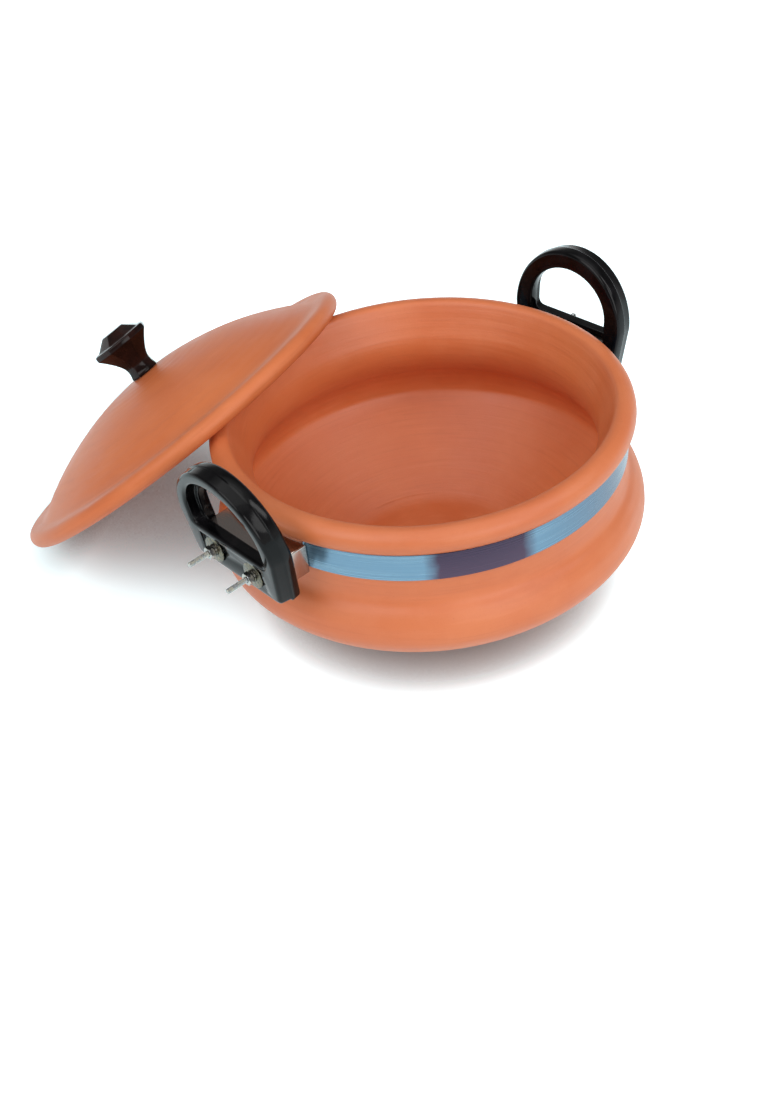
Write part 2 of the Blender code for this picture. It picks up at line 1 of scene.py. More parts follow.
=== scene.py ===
"""Looks of the clay handi: thrown clay, a polished strap, moulded handles and zinc fasteners."""
import math

import bmesh
import bpy
from mathutils import Matrix, Vector, noise


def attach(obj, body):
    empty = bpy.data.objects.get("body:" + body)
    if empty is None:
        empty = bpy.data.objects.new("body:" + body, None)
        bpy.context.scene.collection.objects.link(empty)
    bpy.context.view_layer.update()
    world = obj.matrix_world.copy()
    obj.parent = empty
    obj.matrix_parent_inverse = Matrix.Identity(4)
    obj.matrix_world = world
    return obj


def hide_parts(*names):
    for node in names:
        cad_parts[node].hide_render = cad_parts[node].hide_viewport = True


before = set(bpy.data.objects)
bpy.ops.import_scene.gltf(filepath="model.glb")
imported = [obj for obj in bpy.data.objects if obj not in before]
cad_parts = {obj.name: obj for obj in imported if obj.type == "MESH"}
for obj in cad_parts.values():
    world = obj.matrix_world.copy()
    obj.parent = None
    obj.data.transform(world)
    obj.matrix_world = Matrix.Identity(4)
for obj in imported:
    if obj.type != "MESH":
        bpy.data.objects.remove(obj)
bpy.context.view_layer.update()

# Camera, as fitted to the photograph
CAMERA_PLACE = Vector((-0.5012, -0.5302, 0.618))
CAMERA_HEADING = math.radians(48.84)
CAMERA_PITCH = math.radians(39.49)
CAMERA_ROLL = math.radians(-7.33)
CAMERA_LENS_MM = 48.74

# Sizes of the CAD solids that the finer pieces follow: the pot
GAP = 0.0003
POT_HEIGHT = 0.128
RIM_RADIUS = 0.125
NECK_RADIUS = 0.1193
LIP_RADIUS = 0.008
LIP_CENTRE = (RIM_RADIUS - LIP_RADIUS, POT_HEIGHT - LIP_RADIUS)
LIP_INNER_ANGLE = math.radians(115)
FLARE_SLOPE = math.radians(65)
THROAT = (RIM_RADIUS - 0.0224, POT_HEIGHT - 0.028)
THROAT_KNEE = 0.005
INSIDE_BEND = 0.010
WALL = 0.009
FLOOR = 0.010
BELLY = (NECK_RADIUS + 0.0108, POT_HEIGHT - 0.0707)
SHOULDER = (0.022, 0.024)
SHOULDER_BLEND = math.radians(49)
TURN = (0.0107, 0.016)
TURN_SLOPE = math.radians(41)
BASE_RADIUS = 0.060

# Sizes of the CAD solids: the neck band and the brackets
BAND_WIDTH = 0.0175
BAND_THICKNESS = 0.0008
BAND_MIDDLE = NECK_RADIUS + GAP + BAND_THICKNESS / 2
BAND_TOP = LIP_CENTRE[1] - math.sqrt(LIP_RADIUS ** 2 - (NECK_RADIUS + GAP - LIP_CENTRE[0]) ** 2) - GAP
BAND_BOTTOM = BAND_TOP - BAND_WIDTH
BRACKET_WIDTH = 0.060
BRACKET_HEIGHT = 0.019
BRACKET_TOP = BAND_TOP - 0.0016
BRACKET_BOTTOM = BRACKET_TOP - BRACKET_HEIGHT
BRACKET_FACE = NECK_RADIUS + 0.0196
BRACKET_SEAT = NECK_RADIUS + GAP + BAND_THICKNESS + 2 * GAP
SHEET = 0.001
SHEET_BEND = 0.0012
TAB_TOP = BRACKET_TOP - SHEET - GAP
TAB_Y = BRACKET_WIDTH / 2 - SHEET - GAP - BAND_THICKNESS / 2
FLANGE_X = BRACKET_FACE - SHEET - GAP - BAND_THICKNESS / 2
FLANGE_END = 0.010

# Sizes of the CAD solids: the handles
HANDLE_ANGLES = {"far": 0.0, "near": math.radians(177.2)}
HANDLE_DEPTH = 0.0144
HANDLE_LEAN = 0.124
BAR_HEIGHT = 0.024
BOLT_Z = BRACKET_BOTTOM + 0.0085
BOLT_SPACING = 0.034
BAR_BACK = BRACKET_FACE + GAP
POCKET_FACE = BAR_BACK + 0.0052
FOOT_Z = BOLT_Z - 0.0105
BAR_TOP = FOOT_Z + BAR_HEIGHT
RING_FACE = BRACKET_FACE + 0.0082
RING_HALF_WIDTH = 0.0418
RING_ARCH_HEIGHT = 0.0288
RING_HEIGHT = 0.072
GRIP_HALF_WIDTH = 0.0312
GRIP_ARCH_HEIGHT = 0.0102
GRIP_HEIGHT = 0.0385
GRIP_CORNER = 0.005
POCKET_HALF_WIDTH = 0.027
POCKET_TOP_RIM = 0.0045
ROUNDING = 0.0022
DRAFT = 0.0004
PARTING = 0.0072
STEP = 0.0008

# Sizes of the CAD solids: the fasteners at the handles
BOLT_RADIUS = 0.0016
BOLT_PROUD = 0.013
BOLT_HEAD_RADIUS = 0.0034
BOLT_HEAD_HEIGHT = 0.0026
BORE = BOLT_RADIUS + GAP
WASHER_RADIUS = 0.008
WASHER_THICKNESS = 0.001
SPRING_WASHER_RADIUS = 0.0036
SPRING_WASHER_THICKNESS = 0.0009
NUT_FLATS = 0.0068
NUT_HEIGHT = 0.0032

# Sizes of the CAD solids: the lid, with its place, and the knob with its screw and washer
LID_RADIUS = 0.126
LID_EDGE = 0.0056
LID_RISE = 0.0373
DOME_RADIUS = 0.2086
LID_WALL = 0.008
BROW_RADIUS = 0.1045
BROW_BLEND = 0.009
LID_HOLE = 0.003
LID_AZIMUTH = math.radians(107)
LID_TILT = math.radians(36.57)
LID_PLACE = Vector((-0.052004, 0.170099, 0.077335))
LID_TURN = Matrix.Rotation(LID_AZIMUTH, 4, "Z") @ Matrix.Rotation(LID_TILT, 4, "Y")
LID_FRAME = Matrix.Translation(LID_PLACE) @ LID_TURN
KNOB_SIDES = 8
KNOB_HEIGHT = 0.033
KNOB_HEAD = 0.0202
KNOB_RIM_HEIGHT = 0.0052
KNOB_BEVEL = 0.0013
KNOB_CROWN_HEIGHT = 0.006
KNOB_CROWN_EDGE = 0.0166
KNOB_CROWN_RADIUS = 0.0083
KNOB_NECK = 0.0091
KNOB_NECK_HEIGHT = 0.0065
KNOB_NECK_TURN = 0.0115
KNOB_FOOT_RADIUS = 0.0101
KNOB_FOOT_HEIGHT = 0.0016
SCREW_RADIUS = 0.0025
SCREW_GRIP = 0.014
SCREW_HEAD_RADIUS = 0.0048
SCREW_HEAD_HEIGHT = 0.003
SCREW_WASHER_BORE = SCREW_RADIUS + GAP
SCREW_WASHER_RADIUS = 0.0075
SCREW_WASHER_THICKNESS = 0.0012

# Where the finer pieces differ from the CAD solids: ridges in the clay and rounder corners
CLAY_SPACING = 0.0014
THROWING_RIDGE = 0.00009
BASE_CORNER = 0.003
INSIDE_CORNER = 0.006
LID_UNDER_CORNER = 0.002

# Where they differ: the strap's eased edges and rounded bends, and where its top edge drops at the ends
STRAP_STEPS = 100
STRAP_EASE = 0.00018
FLANGE_FOLD = 0.0011
TAB_TURN = 0.0007
TAB_LEAD = 0.0006
TAB_EDGE_START = 0.0011
TAB_EDGE_END = 0.0009

# Where they differ: a step inside each ring, a lower and squarer foot, and softer seams, pockets and edges
INNER_STEP = 0.0025
FOOT_EXTRA = 0.003
FOOT_HALF_WIDTH = 0.0375
FOOT_CORNER = 0.0025
SEAM_EASE = 0.0003
SEAM_MIDDLE = 0.0005
SEAM_END = 0.001
LEDGE_EASE = 0.0004
POCKET_ROUNDING = 0.0008
HANDLE_EASE = 0.0003

# Where they differ: threads, rounder heads, eased edges, split washers, coned nuts and the screw's slot
THREAD_PITCH = 0.0005
THREAD_DEPTH = 0.00027
THREAD_CHAMFER = 0.0002
THREAD_OVERLAP = 0.0002
BOLT_HEAD_ROUND = 0.0012
BOLT_HEAD_EDGE = 0.0014
WASHER_EDGE = 0.00025
SPLIT_ANGLE = 1.9
SPLIT_WIDTH = 0.14
SPLIT_LIFT = 0.00022
NUT_CONE_SHARE = 0.96
NUT_CONE_SLOPE = 1.7
KNOB_EASE = 0.00035
SCREW_WASHER_EDGE = 0.0003
SLOT_HALF_LENGTH = 0.006
SLOT_HALF_WIDTH = 0.0006
SLOT_DEPTH = 0.0012
SLOT_CLEARANCE = 0.001

# Where the cutters end, past what they cut: how near the pot's axis, how far out, how low, and for a bolt's
# hole its length and where it starts
CUT_INNER = 0.1
CUT_OUTER = 0.17
CUT_LOW = 0.06
HOLE_REACH = 0.04
HOLE_START = BRACKET_FACE - 0.01

# Angles round the pot, in radians, where a painted reflection turns the strap violet, back again, and darker
# blue
DARK_REFLECTION_START = (-2.36, -2.29)
DARK_REFLECTION_END = (-1.9, -1.83)
DARKER_REFLECTION = (-1.9, -1.3)

# Strength of the world's light on the object
WORLD_LIGHT = 0.32


def rgb(red, green, blue):
    """A shader colour from sRGB levels of 0 to 255."""
    levels = [level / 255 for level in (red, green, blue)]
    linear = [v / 12.92 if v <= 0.04045 else ((v + 0.055) / 1.055) ** 2.4 for v in levels]
    return (*linear, 1.0)


class Nodes:
    """Shorthand for building a node tree."""

    def __init__(self, tree):
        self.tree = tree

    def node(self, kind, settings=None, **inputs):
        made = self.tree.nodes.new(f"ShaderNode{kind}")
        for key, value in (settings or {}).items():
            setattr(made, key, value)
        for key, value in inputs.items():
            self.feed(made.inputs[key.replace("_", " ")], value)
        return made

    def feed(self, socket, value):
        if isinstance(value, bpy.types.NodeSocket):
            self.tree.links.new(value, socket)
        else:
            socket.default_value = value

    def math(self, operation, first, second=0.0, clamp=False):
        made = self.tree.nodes.new("ShaderNodeMath")
        made.operation = operation
        made.use_clamp = clamp
        self.feed(made.inputs[0], first)
        self.feed(made.inputs[1], second)
        return made.outputs[0]

    def remap(self, value, low, high, to_low=0.0, to_high=1.0):
        made = self.node("MapRange", Value=value, From_Min=low, From_Max=high, To_Min=to_low, To_Max=to_high)
        return made.outputs["Result"]

    def mix(self, factor, first, second):
        made = self.tree.nodes.new("ShaderNodeMix")
        made.data_type = "RGBA"
        self.feed(made.inputs[0], factor)
        self.feed(made.inputs[6], first)
        self.feed(made.inputs[7], second)
        return made.outputs[2]

    def seen(self):
        """1 where a ray comes from the camera, a mirror or glass."""
        path = self.node("LightPath")
        glossy = self.math("MAXIMUM", path.outputs["Is Camera Ray"], path.outputs["Is Glossy Ray"])
        return self.math("MAXIMUM", glossy, path.outputs["Is Transmission Ray"])


class Shader(Nodes):
    """A node material."""

    def __init__(self, name, place=None):
        self.material = bpy.data.materials.new(name)
        self.material.use_nodes = True
        super().__init__(self.material.node_tree)
        self.surface = self.tree.nodes["Principled BSDF"]
        self.coords = self.node("TexCoord").outputs["Object"]
        if place:
            turned = self.node("Mapping", {"vector_type": "TEXTURE"}, Vector=self.coords,
                               Location=place.to_translation(), Rotation=place.to_euler())
            self.coords = turned.outputs["Vector"]

    def set(self, **inputs):
        for key, value in inputs.items():
            self.feed(self.surface.inputs[key.replace("_", " ")], value)

    def noise(self, scale, detail=4.0, roughness=0.55, vector=None):
        source = vector or self.coords
        made = self.node("TexNoise", Vector=source, Scale=scale, Detail=detail, Roughness=roughness)
        return made.outputs["Fac"]

    def bump(self, height, strength, distance, under=None):
        made = self.node("Bump", Height=height, Strength=strength, Distance=distance)
        if under is not None:
            self.feed(made.inputs["Normal"], under)
        return made.outputs["Normal"]

    def axes(self):
        apart = self.node("SeparateXYZ", Vector=self.coords)
        return apart.outputs["X"], apart.outputs["Y"], apart.outputs["Z"]

    def around(self, turns, across):
        """Coordinates that run round the Z axis slowly and along the side quickly, for turning marks."""
        x, y, z = self.axes()
        radius = self.math("SQRT", self.math("ADD", self.math("MULTIPLY", x, x), self.math("MULTIPLY", y, y)))
        safe = self.math("MAXIMUM", radius, 0.001)
        side = self.math("ADD", self.math("MULTIPLY", radius, 0.8), z)
        joined = self.node("CombineXYZ", X=self.math("MULTIPLY", self.math("DIVIDE", x, safe), turns),
                           Y=self.math("MULTIPLY", self.math("DIVIDE", y, safe), turns),
                           Z=self.math("MULTIPLY", side, across))
        return joined.outputs["Vector"]


def clay(name, gloss, place=None):
    """Fired clay: warm orange, mottled, with fine grit, brushed streaks and turning lines."""
    shader = Shader(name, place)
    cloud = shader.noise(8.0, 4.0)
    blotch = shader.noise(38.0, 6.0, 0.6)
    grit = shader.noise(1100.0, 3.0, 0.7)
    streak = shader.noise(1.0, 4.0, 0.6, vector=shader.around(2.2, 420.0))
    wide_streak = shader.noise(1.0, 3.0, 0.5, vector=shader.around(1.3, 70.0))
    base = shader.mix(shader.remap(cloud, 0.38, 0.62), rgb(205, 109, 62), rgb(213, 119, 70))
    base = shader.mix(shader.remap(blotch, 0.45, 0.72, 0.0, 0.35), base, rgb(220, 133, 89))
    base = shader.mix(shader.remap(wide_streak, 0.5, 0.7, 0.0, 0.2), base, rgb(202, 104, 60))
    base = shader.mix(shader.remap(streak, 0.54, 0.72, 0.0, 0.3), base, rgb(190, 100, 60))
    base = shader.mix(shader.remap(streak, 0.44, 0.28, 0.0, 0.16), base, rgb(226, 142, 98))
    base = shader.mix(shader.remap(grit, 0.64, 0.76, 0.0, 0.4), base, rgb(150, 78, 50))
    shader.set(Base_Color=base, Roughness=shader.remap(blotch, 0.3, 0.7, 0.4, 0.52), Specular_IOR_Level=gloss)
    normal = shader.bump(streak, 0.4, 0.0004)
    normal = shader.bump(grit, 0.25, 0.00022, under=normal)
    normal = shader.bump(blotch, 0.2, 0.0008, under=normal)
    shader.set(Normal=normal)
    return shader.material


def blue_steel():
    """Polished strap with a blue cast, and painted reflections: one dark violet stretch and a darker blue
    beyond it.
    """
    shader = Shader("blue_steel")
    streaks = shader.node("Mapping", Vector=shader.coords)
    streaks.inputs["Scale"].default_value = (14.0, 14.0, 1100.0)
    grain = shader.noise(1.0, 3.0, vector=streaks.outputs[0])
    wave = shader.noise(30.0, 2.0)
    tint = shader.mix(shader.remap(grain, 0.35, 0.7), rgb(102, 138, 163), rgb(118, 152, 173))
    x, y, z = shader.axes()
    angle = shader.math("ARCTAN2", y, x)
    ragged = shader.math("ADD", angle, shader.math("MULTIPLY", shader.noise(90.0, 3.0), 0.05))
    # Painted reflection: a dark violet stretch over set angles round the pot, darker towards the strap's top
    # edge.
    entry = shader.remap(ragged, *DARK_REFLECTION_START)
    leave = shader.remap(ragged, *DARK_REFLECTION_END, 1.0, 0.0)
    dark_reflection = shader.math("MULTIPLY", entry, leave, clamp=True)
    # Painted reflection: the blue darkens beyond a set angle round the pot.
    tint = shader.mix(shader.remap(angle, *DARKER_REFLECTION), tint, rgb(74, 95, 118))
    violet_reflection = shader.mix(shader.remap(z, BAND_BOTTOM, BAND_TOP), rgb(76, 60, 80), rgb(58, 46, 68))
    shader.set(Base_Color=shader.mix(dark_reflection, tint, violet_reflection), Metallic=0.6)
    shader.set(Roughness=shader.remap(grain, 0.3, 0.7, 0.2, 0.3), Normal=shader.bump(wave, 0.15, 0.0008))
    return shader.material


def steel():
    """Polished bare sheet with fine rolling lines."""
    shader = Shader("steel")
    lines = shader.node("Mapping", Vector=shader.coords)
    lines.inputs["Scale"].default_value = (1500.0, 60.0, 60.0)
    grain = shader.noise(1.0, 3.0, vector=lines.outputs[0])
    shader.set(Base_Color=rgb(168, 158, 152), Metallic=1.0, Roughness=shader.remap(grain, 0.3, 0.7, 0.1, 0.2))
    return shader.material


def zinc(name, dull, bright):
    """Zinc plating with a faint yellow cast and small dull spots."""
    shader = Shader(name)
    spots = shader.noise(500.0, 4.0, 0.6)
    base = shader.mix(shader.remap(spots, 0.4, 0.65), dull, bright)
    shader.set(Base_Color=base, Metallic=1.0, Roughness=shader.remap(spots, 0.3, 0.7, 0.2, 0.38))
    shader.set(Normal=shader.bump(spots, 0.1, 0.0001))
    return shader.material


def bakelite(name, dark, light):
    """Glossy moulded phenolic with faint flow marks."""
    shader = Shader(name)
    cloud = shader.noise(70.0, 5.0, 0.6)
    ripple = shader.noise(260.0, 3.0)
    shader.set(Base_Color=shader.mix(shader.remap(cloud, 0.42, 0.72), dark, light))
    shader.set(Roughness=shader.remap(cloud, 0.3, 0.7, 0.08, 0.18), Normal=shader.bump(ripple, 0.12, 0.0003))
    shader.set(Specular_IOR_Level=0.17)
    return shader.material


def bend(start, corner, end, steps):
    """Points of a curve that leaves start towards corner and reaches end from it."""
    points = []
    for step in range(steps + 1):
        t = step / steps
        weights = ((1 - t) ** 2, 2 * t * (1 - t), t ** 2)
        points.append(tuple(sum(w * p[k] for w, p in zip(weights, (start, corner, end))) for k in (0, 1)))
    return points


def arc(centre, radius, start, end, steps):
    """Points of a round stretch, from one angle to another."""
    angles = [start + (end - start) * step / steps for step in range(steps + 1)]
    return [(centre[0] + radius * math.cos(a), centre[1] + radius * math.sin(a)) for a in angles]


def meet(first, first_angle, second, second_angle):
    """Point where two lines cross, each given by a point and its angle."""
    ca, sa = math.cos(first_angle), math.sin(first_angle)
    cb, sb = math.cos(second_angle), math.sin(second_angle)
    along = ((second[0] - first[0]) * sb - (second[1] - first[1]) * cb) / (ca * sb - sa * cb)
    return (first[0] + along * ca, first[1] + along * sa)


def joined(*runs):
    """One outline from several runs of points, each shared end kept once."""
    points = []
    for run in runs:
        points += [p for p in run if not points or math.dist(p, points[-1]) > 1e-6]
    return points


def even(points, spacing):
    """The same line with points a set distance apart, its ends kept."""
    lengths = [0.0]
    for one, other in zip(points, points[1:]):
        lengths.append(lengths[-1] + math.dist(one, other))
    count = max(2, round(lengths[-1] / spacing))
    made, index = [], 0
    for step in range(count + 1):
        wanted = lengths[-1] * step / count
        while index < len(lengths) - 2 and lengths[index + 1] < wanted:
            index += 1
        share = (wanted - lengths[index]) / (lengths[index + 1] - lengths[index])
        made.append(tuple(a + (b - a) * share for a, b in zip(points[index], points[index + 1])))
    return made


def pot_neck():
    """Outside of the pot from the neck down to its widest part."""
    middle = BELLY[0] - SHOULDER[0]
    angles = [SHOULDER_BLEND * (1 - step / 16) for step in range(17)]
    shoulder = [(middle + SHOULDER[0] * math.cos(a), BELLY[1] + SHOULDER[1] * math.sin(a)) for a in angles]
    steepness = SHOULDER[1] / (SHOULDER[0] * math.tan(SHOULDER_BLEND))
    corner = (NECK_RADIUS, shoulder[0][1] + (shoulder[0][0] - NECK_RADIUS) * steepness)
    waist = bend((NECK_RADIUS, corner[1] + math.dist(corner, shoulder[0])), corner, shoulder[0], 14)
    return joined(waist, shoulder)


def pot_bowl(inset, level):
    """Half section from the widest part down to a flat at level, set in from the outside by inset."""
    outer_turn = (BELLY[0] - TURN[0], BELLY[1] - TURN[1])
    base_slope = 2 * math.atan2(outer_turn[1], outer_turn[0] - BASE_RADIUS) - TURN_SLOPE
    turn_end = (outer_turn[0] - inset * math.sin(TURN_SLOPE), outer_turn[1] + inset * math.cos(TURN_SLOPE))
    widest = (BELLY[0] - inset, BELLY[1])
    turn = bend(widest, meet(widest, math.pi / 2, turn_end, TURN_SLOPE), turn_end, 14)
    rise = level - inset * math.cos(base_slope)
    edge = (BASE_RADIUS - inset * math.sin(base_slope) + rise / math.tan(base_slope), level)
    return joined(turn, bend(turn_end, meet(turn_end, TURN_SLOPE, edge, base_slope), edge, 14))


def softened(points, index, size):
    """The line with one corner rounded."""
    before, corner, after = (Vector(points[i]) for i in (index - 1, index, index + 1))
    start = corner + (before - corner).normalized() * size
    end = corner + (after - corner).normalized() * size
    return points[:index] + bend(start, corner, end, 5) + points[index + 1:]


def pot_outline():
    """Half section of the pot, from the floor's middle up the inside and down the outside."""
    inside = pot_bowl(WALL, FLOOR)[::-1]
    low_corner = (inside[-1][0], inside[-1][1] + INSIDE_BEND)
    high_corner = (THROAT[0], THROAT[1] - INSIDE_BEND)
    between = tuple((a + b) / 2 for a, b in zip(low_corner, high_corner))
    wall = joined(bend(inside[-1], low_corner, between, 14), bend(between, high_corner, THROAT, 14))
    inside = softened([(0.0, FLOOR)] + inside, 1, INSIDE_CORNER)
    neck_angle = -math.acos((NECK_RADIUS - LIP_CENTRE[0]) / LIP_RADIUS)
    lip = arc(LIP_CENTRE, LIP_RADIUS, LIP_INNER_ANGLE, neck_angle, 36)
    knee = (THROAT[0], THROAT[1] + THROAT_KNEE)
    above = (knee[0] + THROAT_KNEE * math.cos(FLARE_SLOPE), knee[1] + THROAT_KNEE * math.sin(FLARE_SLOPE))
    crest = meet(knee, FLARE_SLOPE, lip[0], LIP_INNER_ANGLE - math.pi / 2)
    flare = joined(bend(THROAT, knee, above, 10), bend(above, crest, lip[0], 16))
    outside = joined(pot_neck(), pot_bowl(0.0, 0.0))
    foot = softened(outside + [(0.0, 0.0)], len(outside) - 1, BASE_CORNER)
    return joined(inside, wall, flare, lip, foot)


def lid_outline():
    """Half section of the lid, over the dome from its hole and back inside."""
    centre = (0.0, LID_RISE - DOME_RADIUS)
    brow = math.acos(BROW_RADIUS / DOME_RADIUS)
    dome = arc(centre, DOME_RADIUS, math.acos(LID_HOLE / DOME_RADIUS), brow, 60)
    flange_start = (BROW_RADIUS + BROW_BLEND, LID_EDGE)
    flange = bend(dome[-1], meet(dome[-1], brow - math.pi / 2, flange_start, 0.0), flange_start, 12)
    edge = arc((LID_RADIUS - LID_EDGE, 0.0), LID_EDGE, math.pi / 2, -math.pi / 2, 24)
    inner_radius = DOME_RADIUS - LID_WALL
    inner_edge = math.asin((-LID_EDGE - centre[1]) / inner_radius)
    hollow = arc(centre, inner_radius, inner_edge, math.acos(LID_HOLE / inner_radius), 60)
    under = softened(joined(edge, hollow), len(edge), LID_UNDER_CORNER)
    return joined(dome, flange, under)


def loft(rows, closed=False):
    """Vertices and faces that join closed rows of points; closed joins the last row to the first."""
    count = len(rows[0])
    verts = [point for row in rows for point in row]
    faces = []
    for index in range(len(rows) if closed else len(rows) - 1):
        one, other = index * count, (index + 1) % len(rows) * count
        for k in range(count):
            n = (k + 1) % count
            faces.append((one + k, one + n, other + n, other + k))
    return verts, faces


def lathe(outline, segments, closed=False, push=None):
    """A (radius, height) outline turned about Z; push moves a point along its radius and height."""
    rows = []
    for index, (radius, height) in enumerate(outline):
        row = []
        for k in range(segments):
            angle = 2 * math.pi * k / segments
            out, up = push(index, angle) if push else (0.0, 0.0)
            reach = max(radius + out, 0.0)
            row.append((reach * math.cos(angle), reach * math.sin(angle), height + up))
        rows.append(row)
    return loft(rows, closed=closed)


def thrown(outline, seed, quiet_ends):
    """Moves for a thrown surface: spiral finger ridges and a slight unevenness."""
    normals = []
    for index in range(len(outline)):
        before = Vector(outline[max(index - 1, 0)])
        after = Vector(outline[min(index + 1, len(outline) - 1)])
        way = (after - before).normalized()
        normals.append(Vector((way.y, -way.x)))

    def push(index, angle):
        calm = min(1.0, index / quiet_ends, (len(outline) - 1 - index) / quiet_ends)
        ridge = math.sin(index * 1.15 + angle) * (0.6 + 0.6 * math.sin(index * 0.13 + seed))
        spot = Vector((math.cos(angle) * 1.4, math.sin(angle) * 1.4, index * 0.04 + seed))
        size = THROWING_RIDGE * (0.55 * ridge + 1.4 * noise.noise(spot)) * calm
        return normals[index] * size
    return push


def add_piece(name, shape, finish, body="pot_body", place=None, crease=42, tools=()):
    """A finer piece that stands for the CAD node of the same name."""
    mesh = bpy.data.meshes.new(f"{name}_fine")
    mesh.from_pydata([tuple(v) for v in shape[0]], [], shape[1])
    piece = bpy.data.objects.new(f"{name}_fine", mesh)
    bpy.context.scene.collection.objects.link(piece)
    for kind, settings in tools:
        modifier = piece.modifiers.new(kind.lower(), kind)
        for key, value in settings.items():
            setattr(modifier, key, value)
    if tools:
        solved = bpy.data.meshes.new_from_object(piece.evaluated_get(bpy.context.evaluated_depsgraph_get()))
        piece.modifiers.clear()
        piece.data = mesh = solved
    bm = bmesh.new()
    bm.from_mesh(mesh)
    bmesh.ops.remove_doubles(bm, verts=bm.verts, dist=1e-6)
    bmesh.ops.recalc_face_normals(bm, faces=bm.faces)
    bm.transform(place or Matrix.Identity(4))
    bm.to_mesh(mesh)
    bm.free()
    mesh.materials.clear()
    mesh.materials.append(finish)
    mesh.shade_smooth()
    mesh.set_sharp_from_angle(angle=math.radians(crease))
    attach(piece, body)
    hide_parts(name)


def block(low, high):
    """Vertices and faces of a box."""
    corners = [(x, y, z) for x in (low[0], high[0]) for y in (low[1], high[1]) for z in (low[2], high[2])]
    return corners, [(0, 1, 3, 2), (4, 6, 7, 5), (0, 4, 5, 1), (2, 3, 7, 6), (0, 2, 6, 4), (1, 5, 7, 3)]


def cutter(shape, rounding=0.0):
    """A shape for cutting, taken away again once its cuts are made."""
    mesh = bpy.data.meshes.new("cutter")
    mesh.from_pydata([tuple(v) for v in shape[0]], [], shape[1])
    bm = bmesh.new()
    bm.from_mesh(mesh)
    bmesh.ops.remove_doubles(bm, verts=bm.verts, dist=1e-6)
    bmesh.ops.recalc_face_normals(bm, faces=bm.faces)
    bm.to_mesh(mesh)
    bm.free()
    tool = bpy.data.objects.new("cutter", mesh)
    tool.hide_render = True
    bpy.context.scene.collection.objects.link(tool)
    if rounding:
        modifier = tool.modifiers.new("rounding", "BEVEL")
        modifier.width = rounding
        modifier.segments = 4
    return tool


def difference(tool):
    """Modifier that cuts a tool's shape away."""
    return ("BOOLEAN", {"object": tool, "operation": "DIFFERENCE", "solver": "EXACT"})


def eased(width, segments, angle):
    """Modifier that rounds the edges that turn by more than an angle in degrees."""
    limit = {"limit_method": "ANGLE", "angle_limit": math.radians(angle)}
    return ("BEVEL", {"width": width, "segments": segments, **limit})


def along_x(shape, start):
    """A shape made about Z, turned to run along +X from start."""
    return [(start[0] + z, start[1] + y, start[2] - x) for x, y, z in shape[0]], shape[1]


def add_pot(finish):
    """The thrown pot, open at the top and closed at its base."""
    outline = even(pot_outline(), CLAY_SPACING)
    add_piece("pot", lathe(outline, 168, push=thrown(outline, 0.0, 12)), finish)


def add_lid(finish):
    """The thrown lid, with its hole for the knob's screw."""
    outline = even(lid_outline(), CLAY_SPACING)
    shape = lathe(outline, 160, closed=True, push=thrown(outline, 5.0, 4))
    add_piece("lid", shape, finish, "lid_body", LID_FRAME)


def arch(half_width, foot_half_width, foot, spring, crown, corner):
    """Closed outline of a D: a level foot, rounded corners, leaning sides and an elliptic arch."""
    side = math.atan2(spring - foot, half_width - foot_half_width)
    up_side = (foot_half_width + corner * math.cos(side), foot + corner * math.sin(side))
    angles = [math.pi / 2 * step / 30 for step in range(31)]
    over = [(half_width * math.cos(a), spring + (crown - spring) * math.sin(a)) for a in angles]
    over[-1] = (0.0, crown)
    low = bend((foot_half_width - corner, foot), (foot_half_width, foot), up_side, 8)
    right = joined([(0.0, foot)], low, over)
    return right + [(-y, z) for y, z in right[-2:0:-1]]


def handle_shape():
    """A D-shaped ring that leans outwards, its rear half a step prouder than its front half, inside too."""
    angles = [math.pi / 2 * index / 5 for index in range(6)]
    edge = [(ROUNDING * (1 - math.sin(a)), ROUNDING * (1 - math.cos(a)) + DRAFT) for a in angles]
    front = [(depth, inset + STEP) for depth, inset in reversed(edge)]
    back = [(HANDLE_DEPTH - depth, inset) for depth, inset in edge]
    half_way = (PARTING + SEAM_EASE, STEP / 2)
    seam = bend((PARTING - SEAM_EASE, STEP), (PARTING, STEP), half_way, 2)
    seam += bend(half_way, (PARTING + SEAM_MIDDLE, 0.0), (PARTING + SEAM_END, 0.0), 2)
    rows = []
    for depth, inset in joined(front, seam, back):
        outline = arch(RING_HALF_WIDTH - inset, FOOT_HALF_WIDTH - inset, FOOT_Z - FOOT_EXTRA + inset,
                       FOOT_Z + RING_ARCH_HEIGHT, FOOT_Z + RING_HEIGHT - inset, FOOT_CORNER)
        rows.append((depth, outline))
    half_ledge = (PARTING, INNER_STEP / 2)
    ledge = bend((PARTING - LEDGE_EASE, 0.0), (PARTING, 0.0), half_ledge, 3)
    ledge += bend(half_ledge, (PARTING, INNER_STEP), (PARTING + LEDGE_EASE, INNER_STEP), 3)[1:]
    hole = [(depth, inset, 0.0) for depth, inset in reversed(edge)]
    hole += [(depth, DRAFT, step) for depth, step in ledge]
    hole += [(depth, inset, INNER_STEP) for depth, inset in back]
    for depth, inset, step in reversed(hole):
        wide = GRIP_HALF_WIDTH + inset - step
        crown = BAR_TOP + GRIP_HEIGHT + inset - step
        outline = arch(wide, wide, BAR_TOP - inset, BAR_TOP + GRIP_ARCH_HEIGHT, crown, GRIP_CORNER)
        rows.append((depth, outline))
    placed = []
    for depth, outline in rows:
        placed.append([(RING_FACE - depth + HANDLE_LEAN * (z - BAR_TOP), y, z) for y, z in outline])
    return loft(placed, closed=True)


def bolt_hole(y):
    """A cutter for one bolt's hole through strap, bracket and handle."""
    outline = [(0, 0), (BORE, 0), (BORE, HOLE_REACH), (0, HOLE_REACH)]
    return cutter(along_x(lathe(outline, 32), (HOLE_START, y, BOLT_Z)))


